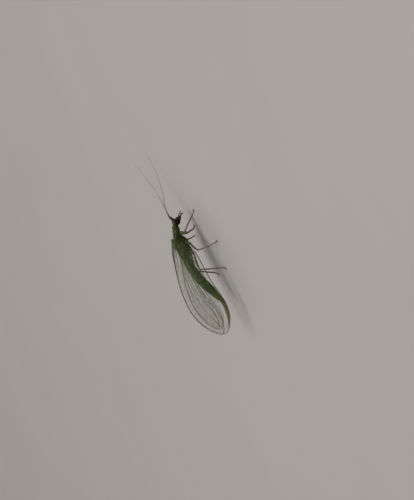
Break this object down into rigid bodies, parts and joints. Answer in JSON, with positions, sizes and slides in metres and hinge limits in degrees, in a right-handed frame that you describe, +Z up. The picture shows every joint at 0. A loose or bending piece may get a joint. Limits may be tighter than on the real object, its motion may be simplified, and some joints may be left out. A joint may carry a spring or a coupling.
{
  "type": "green lacewing",
  "caption": "Life-size green lacewing standing with its veined wings folded roof-like over a slender green body, long feelers spread ahead.",
  "frame": {"origin": "on the floor under the middle of the bounding box, in the insect's plane of symmetry as nearly as its stance allows", "axes": "+X towards the head along the body's length, +Y to the insect's left, +Z up from the floor it stands on"},
  "size_m": [0.0262, 0.0097, 0.0067],
  "materials": {
    "thorax": "soft cuticle, leaf green to olive, satin",
    "abdomen": "soft cuticle, dark leaf green with a paler olive line, satin",
    "head": "hard cuticle, tan crown and dark red-brown face, satin",
    "eye": "faceted compound eye, dark bronze, glossy",
    "feeler": "thin ringed cuticle, brown at the base and paler outward, matte",
    "leg": "thin haired cuticle, grey-olive with brown feet, matte",
    "wing": "clear membrane with green-brown veins and a faint sheen"
  },
  "bodies": {
    "root": {"prothorax": "thorax", "mesothorax": "thorax", "metathorax": "thorax", "abdomen": "abdomen", "head": "head", "eye_right": "eye", "eye_left": "eye", "scape_right": "feeler", "scape_left": "feeler", "antenna_right": "feeler", "antenna_left": "feeler", "palp_right": "feeler", "palp_left": "feeler", "foreleg_right": "leg", "foreleg_left": "leg", "midleg_right": "leg", "midleg_left": "leg", "hindleg_right": "leg", "hindleg_left": "leg", "forewing_right": "wing", "forewing_left": "wing", "hindwing_right": "wing", "hindwing_left": "wing"}
  },
  "joints": []
}
